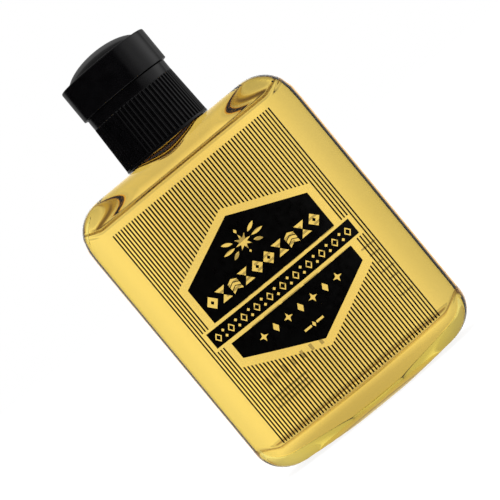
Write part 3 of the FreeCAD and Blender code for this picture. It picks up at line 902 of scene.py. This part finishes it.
class Look(Graph):
    """A node material around one Principled shader."""

    def __init__(self, name, **values):
        self.material = bpy.data.materials.new(name)
        self.material.use_nodes = True
        super().__init__(self.material.node_tree)
        self.shader = self.nodes["Principled BSDF"]
        for socket, value in values.items():
            self.shader.inputs[socket.replace("_", " ").title().replace("Ior", "IOR")].default_value = value
        self.place = self.add("TexCoord", "Object")

    def noise(self, per_metre, detail=3.0, stretch=(1, 1, 1)):
        scaled = self.add("Mapping", "Vector", Vector=self.place, Scale=stretch)
        return self.add("TexNoise", "Fac", Vector=scaled, Scale=per_metre, Detail=detail)

    def marked(self, name):
        """The value that the mesh stores under this name."""
        node = self.nodes.new("ShaderNodeAttribute")
        node.attribute_name = name
        return node.outputs["Fac"]

    def product(self, a, b):
        """Two colours multiplied."""
        node = self.nodes.new("ShaderNodeVectorMath")
        node.operation = "MULTIPLY"
        self.links.new(a, node.inputs[0])
        self.links.new(b, node.inputs[1])
        return node.outputs[0]

    def drive(self, socket, value):
        self.links.new(value, self.shader.inputs[socket])

    def tones(self, value, low, high, start=0.3, end=0.7):
        self.drive("Base Color", self.ramp(value, ((start, low), (end, high))))

    def rough(self, value, low, high):
        self.drive("Roughness", self.ranged(value, low, high))

    def refract(self, name, at_zero, at_one):
        """Sets the index of refraction for a stored value of 0 and of 1, and evenly between."""
        self.drive("IOR", self.ranged(self.marked(name), at_zero, at_one, 0.0, 1.0))

    def relief(self, value, height_mm, strength=1.0):
        bump = self.add("Bump", "Normal", Distance=height_mm * MM, Strength=strength, Height=value)
        self.drive("Normal", bump)


def tint(look, colour, density):
    """Golden absorption through the depth of the material."""
    depth = look.add("VolumeAbsorption", "Volume", Color=(*colour, 1), Density=density)
    look.links.new(depth, look.nodes["Material Output"].inputs["Volume"])


GLASS_IOR, LIQUID_IOR = 1.5, 1.48
CLEAR, BLACK, WHITE = (1.0, 1.0, 1.0), (0, 0, 0), (1, 1, 1, 1)
GOLD, PALE_GOLD = (0.985, 0.862, 0.44), (0.99, 0.872, 0.47)
# painted shade in the shoulder's crease and, lighter, in the heel's crease
PAINTED_CREASE_SHADE, PAINTED_HEEL_SHADE = (0.26, 0.17, 0.02), (0.6, 0.5, 0.36)
# colours of the closure's painted reflection round the neck's foot, and of its painted glints
PAINTED_REFLECTION_DARK, PAINTED_REFLECTION_BROWN, PAINTED_REFLECTION_UMBER = (0.0003, 0.0001, 0.0001), (0.0015, 0.0003, 0.0001), (0.006, 0.0016, 0.0004)
PAINTED_GLINT = (0.5, 0.34, 0.14)


def painted_crease_shade(look, across, up, height, rise, shade):
    """Painted shade along one crease, which turns up towards the sides."""
    half_width, turn = HALF_WIDTH * MM, CREASE_TURN * MM
    lift = look.ranged(across, 0.0, rise * MM, half_width - turn, half_width)
    above = look.maths("SUBTRACT", up, height * MM)
    off = look.maths("ABSOLUTE", look.maths("SUBTRACT", above, lift))
    return look.banded(off, 0.0, 0.8 * MM, ((0.0, shade), (0.16 * MM, shade), (0.5 * MM, CLEAR)))


def painted_neck_reflection(look, split):
    """A painted reflection of the black closure: dark rings with painted glints between them, round the
    foot of the neck below it.
    """
    x, y, z = split
    wobble = look.ranged(look.noise(60, 2.0), -0.22 * MM, 0.22 * MM)
    squares = [look.maths("MULTIPLY", side, side) for side in (x, y)]
    ring = look.maths("ADD", look.maths("SQRT", look.maths("ADD", *squares)), wobble)
    # behind the axis and on the wetted surfaces the value runs on, past the last ring
    ring = look.maths("ADD", ring, look.maths("MAXIMUM", y, 0.0))
    ring = look.maths("ADD", ring, look.maths("MULTIPLY", look.marked("wetted"), 20 * MM))
    # painted reflection rings by distance from the axis: dark, brown and umber, parted by light painted
    # glints
    radii = [(10.2, CLEAR), (10.35, PAINTED_REFLECTION_DARK), (11.2, PAINTED_REFLECTION_DARK), (11.36, PAINTED_GLINT), (11.52, PAINTED_REFLECTION_BROWN), (12.22, PAINTED_REFLECTION_BROWN)]
    radii += [(12.4, PAINTED_GLINT), (12.58, PAINTED_REFLECTION_UMBER), (13.05, PAINTED_REFLECTION_UMBER), (13.25, CLEAR)]
    rings = look.banded(ring, 10.0 * MM, 14.0 * MM, [(r * MM, colour) for r, colour in radii])
    # the lightest of the two wins, so white above and below lets no ring through
    levels = ((83.2, CLEAR), (83.6, BLACK), (88.0, BLACK), (88.6, CLEAR))
    heights = look.banded(z, 80.0 * MM, 90.0 * MM, [(level * MM, colour) for level, colour in levels])
    blend = look.mix("RGBA", 1.0, rings, heights)
    blend.blend_type = "LIGHTEN"
    return blend.outputs["Result"]


def gold_tinted_glass():
    """Glass that is light gold all through, with painted shade along the creases and a painted reflection
    of the closure in dark rings round the foot of the neck.
    """
    look = Look("gold_tinted_glass", base_color=WHITE, transmission_weight=1.0, ior=GLASS_IOR, roughness=0)
    split = look.split(look.place)
    across, up = look.maths("ABSOLUTE", split[0]), split[2]
    # painted shade along the shoulder's crease and along the heel's crease
    shoulder = painted_crease_shade(look, across, up, HEIGHT - SHOULDER_HEIGHT + 0.45, CREASE_RISE, PAINTED_CREASE_SHADE)
    heel = painted_crease_shade(look, across, up, HEEL_HEIGHT - 0.2, HEEL_RISE, PAINTED_HEEL_SHADE)
    # the painted crease shade and the painted reflection of the closure darken the glass's colour
    colour = look.product(look.product(shoulder, heel), painted_neck_reflection(look, split))
    clouds = look.banded(look.noise(40), 0.0, 1.0, ((0.3, GOLD), (0.7, PALE_GOLD)))
    look.drive("Base Color", look.product(colour, clouds))
    look.relief(look.noise(28, 2.0, (1, 1, 0.5)), 0.02, 0.15)
    look.refract("wetted", GLASS_IOR, GLASS_IOR / LIQUID_IOR)
    tint(look, (0.955, 0.864, 0.05), 66.0)
    return look.material


def golden_liquid():
    """The liquid bends light only at its open surface: the glass around it carries the other boundary."""
    look = Look("golden_aftershave", base_color=WHITE, transmission_weight=1.0, ior=LIQUID_IOR)
    look.refract("open_surface", 1.0, LIQUID_IOR)
    look.rough(look.noise(60), 0.0, 0.006)
    tint(look, (0.8, 0.45, 0.2), 10.0)
    return look.material


def printing_ink(name, low, high, cover=1.0):
    look = Look(name, ior=1.45, alpha=cover)
    look.tones(look.noise(900), low, high)
    look.rough(look.noise(500), 0.24, 0.4)
    return look.material


def label_film():
    look = Look("label_film", roughness=0.12, ior=1.45, alpha=0.02)
    look.tones(look.noise(300), (0.30, 0.26, 0.13), (0.36, 0.31, 0.16))
    look.rough(look.noise(350), 0.06, 0.16)
    return look.material


def cap_plastic():
    look = Look("black_cap_plastic", ior=1.47)
    look.tones(look.noise(420), (0.0014, 0.0013, 0.0016), (0.0026, 0.0024, 0.0028))
    look.rough(look.noise(260), 0.13, 0.19)
    look.relief(look.noise(420, 2.0), 0.001, 0.3)
    return look.material


def hinge_plastic():
    look = Look("flexed_hinge_plastic", ior=1.47)
    look.tones(look.noise(900, 2.0, (1, 1, 6)), (0.006, 0.006, 0.0065), (0.02, 0.02, 0.021))
    look.rough(look.noise(700), 0.35, 0.5)
    return look.material


def liner_foam():
    look = Look("liner_foam", ior=1.45)
    look.tones(look.noise(2600), (0.55, 0.55, 0.53), (0.78, 0.78, 0.76))
    look.rough(look.noise(1200), 0.6, 0.85)
    look.relief(look.noise(6000), 0.03, 0.8)
    return look.material


def floor_paper():
    look = Look("pale_floor", specular_ior_level=0.0, emission_color=WHITE, emission_strength=0.88)
    look.tones(look.noise(3, 4.0), (0.22, 0.22, 0.22), (0.26, 0.26, 0.26))
    look.rough(look.noise(20), 0.8, 0.95)
    return look.material


# ---- assembly


def put(piece, body, node, look):
    """The piece shows one CAD node, rides its body and takes its finish."""
    piece.data.materials.clear()
    piece.data.materials.append(look)
    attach(piece, body)
    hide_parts(node)


def build_flask():
    ink = printing_ink("black_ink", (0.0006, 0.0005, 0.0004), (0.0014, 0.0011, 0.001))
    brown_ink = printing_ink("brown_ink", (0.08, 0.045, 0.01), (0.12, 0.07, 0.016), 0.5)
    clear_film = label_film()
    put(bottle_glass(), "flask", "bottle", gold_tinted_glass())
    put(liquid_body(), "flask", "aftershave_liquid", golden_liquid())
    for piece in (stripes(), upper_panel(), banner(), lower_panel()):
        put(piece, "flask", "front_label", ink)
    put(film("front_label_film", FRONT_FILM, FRONT), "flask", "front_label", clear_film)
    put(back_print(), "flask", "back_label", brown_ink)
    put(film("back_label_film", BACK_FILM, BACK), "flask", "back_label", clear_film)
    put(liner_ring(), "liner", "sealing_liner", liner_foam())


def build_closure():
    black = cap_plastic()
    put(cap_base_shell(), "closure", "cap_base", black)
    base_pad = hinge_pad("cap_base_hinge_pad", BAND_RADIUS, HINGE_Z - HINGE_GAP - HINGE_PAD)
    put(base_pad, "closure", "cap_base", black)
    put(lid_shell(), "lid", "cap_lid", black)
    lid_pad = hinge_pad("lid_hinge_pad", LID_RADIUS, HINGE_Z + HINGE_GAP)
    put(lid_pad, "lid", "cap_lid", black)
    web = hinge_film()
    web.data.materials.append(hinge_plastic())
    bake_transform(web)
    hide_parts("living_hinge")


# ---- studio, in metres

FLASK_MIDDLE = Vector((0, 0, 0.06))


def build_floor():
    bpy.ops.mesh.primitive_plane_add(size=6.0, location=(0, 0, -0.00002))
    floor = bpy.context.object
    floor.name = "floor"
    floor.data.materials.append(floor_paper())
    floor.visible_transmission = floor.visible_glossy = False


def seen_through(sky, x, y, z):
    """Brightness that reaches the eye through the glass and the liquid, by direction."""

    def graded(value, stops):
        return sky.banded(value, -1.0, 1.0, [(at, (level, level, level)) for at, level in stops])

    heights = [(-1.0, 0.95), (-0.65, 0.9), (-0.45, 0.7), (-0.22, 0.72), (-0.14, 1.0), (0.02, 1.0)]
    heights += [(0.12, 0.68), (0.3, 0.62), (0.5, 0.55), (1.0, 0.6)]
    depths = ((0.0, 1.08), (0.3, 1.0), (0.5, 0.95), (0.75, 0.92), (0.85, 0.98), (0.92, 1.14), (1.0, 0.98))
    sides = ((-1.0, 1.0), (-0.6, 0.84), (-0.45, 0.88), (-0.3, 1.0))
    across = sky.maths("MULTIPLY", graded(sky.maths("ABSOLUTE", y), depths), graded(z, heights))
    return sky.maths("MULTIPLY", across, graded(x, sides))


def mirrored(sky, path, x, y, z):
    """Brightness that the black closure mirrors, by direction, and that the smooth glass mirrors."""

    def span(value, start, end, low, high):
        return sky.ranged(value, low, high, start, end, "SMOOTHSTEP")

    flank = sky.maths("MULTIPLY", span(x, 0.75, 0.95, 0.0, 1.0), span(y, -0.2, 0.35, 0.27, 0.62))
    shine = sky.maths("ADD", span(x, 0.54, 0.72, 0.002, 0.2), flank)
    for side, *patch in ((y, 0.66, 0.74, 0.0, 0.22), (z, 0.35, 0.7, 0.0, 0.14), (z, -0.9, -0.4, 1.0, 0.0)):
        shine = sky.maths("ADD", shine, span(side, *patch))
    on_glass = span(y, 0.0, 0.9, 0.5, 1.5)
    return sky.mix("FLOAT", path["Is Singular Ray"], shine, on_glass).outputs["Result"]


def build_world():
    """Plain white studio walls, set apart for what is mirrored, seen through glass and seen directly."""
    world = bpy.data.worlds.new("studio")
    bpy.context.scene.world = world
    world.use_nodes = True
    world.cycles.sampling_method = "NONE"
    sky = Graph(world.node_tree)
    sky.nodes.clear()
    direction = sky.split(sky.add("TexCoord", "Generated"))
    path = sky.nodes.new("ShaderNodeLightPath").outputs
    strength = 0.9
    for ray, level in (
        ("Is Glossy Ray", mirrored(sky, path, *direction)),
        ("Is Transmission Ray", seen_through(sky, *direction)),
        ("Is Camera Ray", 1.0),
    ):
        strength = sky.mix("FLOAT", path[ray], strength, level).outputs["Result"]
    background = sky.add("Background", "Background", Color=WHITE, Strength=strength)
    sky.links.new(background, sky.nodes.new("ShaderNodeOutputWorld").inputs["Surface"])


def softbox(name, place, size, power, colour=(1, 1, 1)):
    """A soft rectangular lamp aimed at the flask, which lights it without being mirrored or seen."""
    light = bpy.data.lights.new(name, "AREA")
    light.shape = "RECTANGLE"
    light.size, light.size_y = size
    light.energy = power
    light.color = colour
    lamp = placed(name, light)
    lamp.location = place
    lamp.rotation_mode = "QUATERNION"
    lamp.rotation_quaternion = (FLASK_MIDDLE - Vector(place)).to_track_quat("-Z", "Y")
    lamp.visible_camera = lamp.visible_transmission = lamp.visible_glossy = False


def build_lights():
    softbox("top_softbox", (0.0, 0.1, 0.9), (0.9, 0.7), 3.5)
    softbox("right_softbox", (0.75, -0.35, 0.35), (0.5, 0.8), 2.0, (0.97, 0.95, 1.0))
    softbox("left_fill", (-0.8, -0.5, 0.4), (0.12, 0.7), 0.5)


def build_camera():
    """A long lens a little to the right of the front, just above the flask's middle, rolled to one side."""
    distance, azimuth, roll = 0.6, math.radians(3.3), math.radians(39.6)
    aim = Vector((-0.00149, 0, 0.05175))
    place = aim + Vector((distance * math.sin(azimuth), -distance * math.cos(azimuth), 0.02))
    data = bpy.data.cameras.new("camera")
    data.lens, data.sensor_width = 167.0, 36.0
    data.clip_start, data.clip_end = 0.01, 50.0
    camera = placed("camera", data)
    camera.location = place
    look = (aim - place).to_track_quat("-Z", "Y").to_matrix() @ Matrix.Rotation(-roll, 3, "Z")
    camera.rotation_euler = look.to_euler()
    bpy.context.scene.camera = camera


build_flask()
build_closure()
build_floor()
build_world()
build_lights()
build_camera()
bpy.context.scene.view_settings.view_transform = "Standard"
